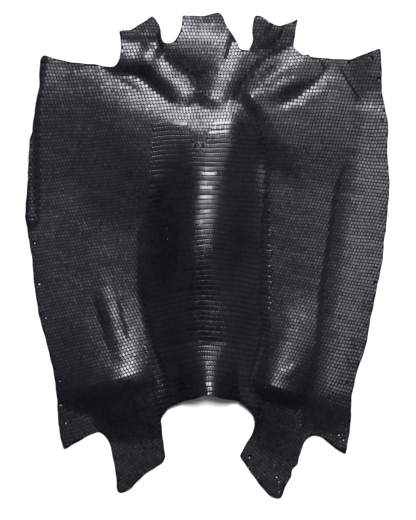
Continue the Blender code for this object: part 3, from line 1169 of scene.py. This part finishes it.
# %% Floor
FLOOR_SIZE = 6.0
FLOOR_DROP = 0.0003
FLOOR_COLOURS = ((0.88, 0.88, 0.88), (0.90, 0.90, 0.90))
bpy.ops.mesh.primitive_plane_add(size=FLOOR_SIZE, location=(0.0, 0.0, -FLOOR_DROP))
floor = bpy.context.active_object
floor.name = "pale_floor"
floor_material, floor_tree, floor_shader = new_material("pale_floor")
clouds = spread(floor_tree, noise(floor_tree, scale=3.0), 0.0, 1.0)
floor_colour = blend_colours(floor_tree, clouds, *FLOOR_COLOURS)
set_inputs(floor_tree, floor_shader, {"Base Color": floor_colour, "Roughness": 0.9})
floor.data.materials.append(floor_material)
print("floor", FLOOR_SIZE, "m square")

# %% [markdown]
# Polished black shows little but what it mirrors, so the lights draw the folds. A key
# light beyond the neck lights the slopes of the chest, the front legs and the groins. A
# narrow strip nearly overhead draws the bright line along the belly. A broad soft light
# on the right grazes that flank, and a dim ceiling and two dim walls keep the rest from
# going quite black. Each light is a rectangle that faces the hide. Its across is the
# side at right angles to its heading, and its along is the other one.

# %% Lights
SoftLight = namedtuple("SoftLight", "name tilt heading distance across along radiance colour")

LIGHTS = [
    SoftLight("key", 24.0, 80.0, 4.0, 1.40, 1.40, 35.0, (1.0, 1.0, 1.0)),
    SoftLight("strip", 13.0, 90.0, 4.0, 0.18, 0.72, 11.0, (0.98, 0.98, 1.0)),
    SoftLight("side", 12.8, 14.0, 4.0, 0.90, 1.10, 3.1, (0.95, 0.97, 1.0)),
    SoftLight("right wall", 29.0, 0.0, 4.0, 1.60, 1.60, 0.4, (0.80, 0.92, 0.92)),
    SoftLight("left wall", 29.0, 180.0, 4.0, 1.60, 1.60, 0.24, (0.90, 0.92, 1.0)),
    SoftLight("ceiling", 7.2, 134.0, 4.2, 1.90, 1.30, 0.56, (0.84, 0.91, 1.0)),
]


def aim(thing, target):
    """Turns a light or camera so that it looks at a point."""
    away = np.array(thing.location) - np.array(target)
    thing.rotation_euler = Vector(away).to_track_quat("Z", "Y").to_euler()


def add_soft_light(light):
    """A rectangular light, tilt degrees off the vertical towards heading, looking at the hide."""
    data = bpy.data.lights.new(light.name, "AREA")
    data.shape = "RECTANGLE"
    data.size, data.size_y = light.across, light.along
    data.energy = light.radiance * np.pi * light.across * light.along
    data.color = light.colour
    lamp = bpy.data.objects.new(light.name, data)
    bpy.context.scene.collection.objects.link(lamp)
    tilt, heading = np.radians(light.tilt), np.radians(light.heading)
    lamp.location = (
        light.distance * np.sin(tilt) * np.cos(heading),
        light.distance * np.sin(tilt) * np.sin(heading),
        light.distance * np.cos(tilt),
    )
    aim(lamp, (0.0, 0.0, 0.0))


for light in LIGHTS:
    add_soft_light(light)

world = bpy.data.worlds.new("studio")
world.use_nodes = True
sky = world.node_tree.nodes["Background"]
set_inputs(world.node_tree, sky, {"Color": (0.75, 0.82, 1.0, 1.0), "Strength": 0.05})
bpy.context.scene.world = world
bpy.context.scene.view_settings.view_transform = "Standard"
print(len(LIGHTS), "soft lights")

# %% [markdown]
# The camera looks straight down from far above through a long lens, so that the hide's
# edges aren't drawn larger than its middle. The lens follows from the size of a pixel.

# %% Camera
PIXEL = 0.824 * MM
FRAME_PIXELS = (416, 520)
HIDE_MIDDLE_PIXEL = (207.3, 255.5)
CAMERA_HEIGHT = 4.0
camera_data = bpy.data.cameras.new("camera")
camera_data.sensor_width = 36.0
camera_data.lens = camera_data.sensor_width * CAMERA_HEIGHT / (FRAME_PIXELS[1] * PIXEL)
camera = bpy.data.objects.new("camera", camera_data)
bpy.context.scene.collection.objects.link(camera)
camera.location = (
    (FRAME_PIXELS[0] / 2.0 - HIDE_MIDDLE_PIXEL[0]) * PIXEL,
    (HIDE_MIDDLE_PIXEL[1] - FRAME_PIXELS[1] / 2.0) * PIXEL,
    CAMERA_HEIGHT,
)
bpy.context.scene.camera = camera
print("lens", round(camera_data.lens, 1), "mm at", CAMERA_HEIGHT, "m")

# %% [markdown]
# ## Hand the pieces over
# Every piece rides on the one body and stands for the one solid, which is hidden.
# The scales go with the leather sheet.

# %% Ride and replace
for piece in [leather_sheet] + pieces:
    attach(piece, "root")
    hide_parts("hide")
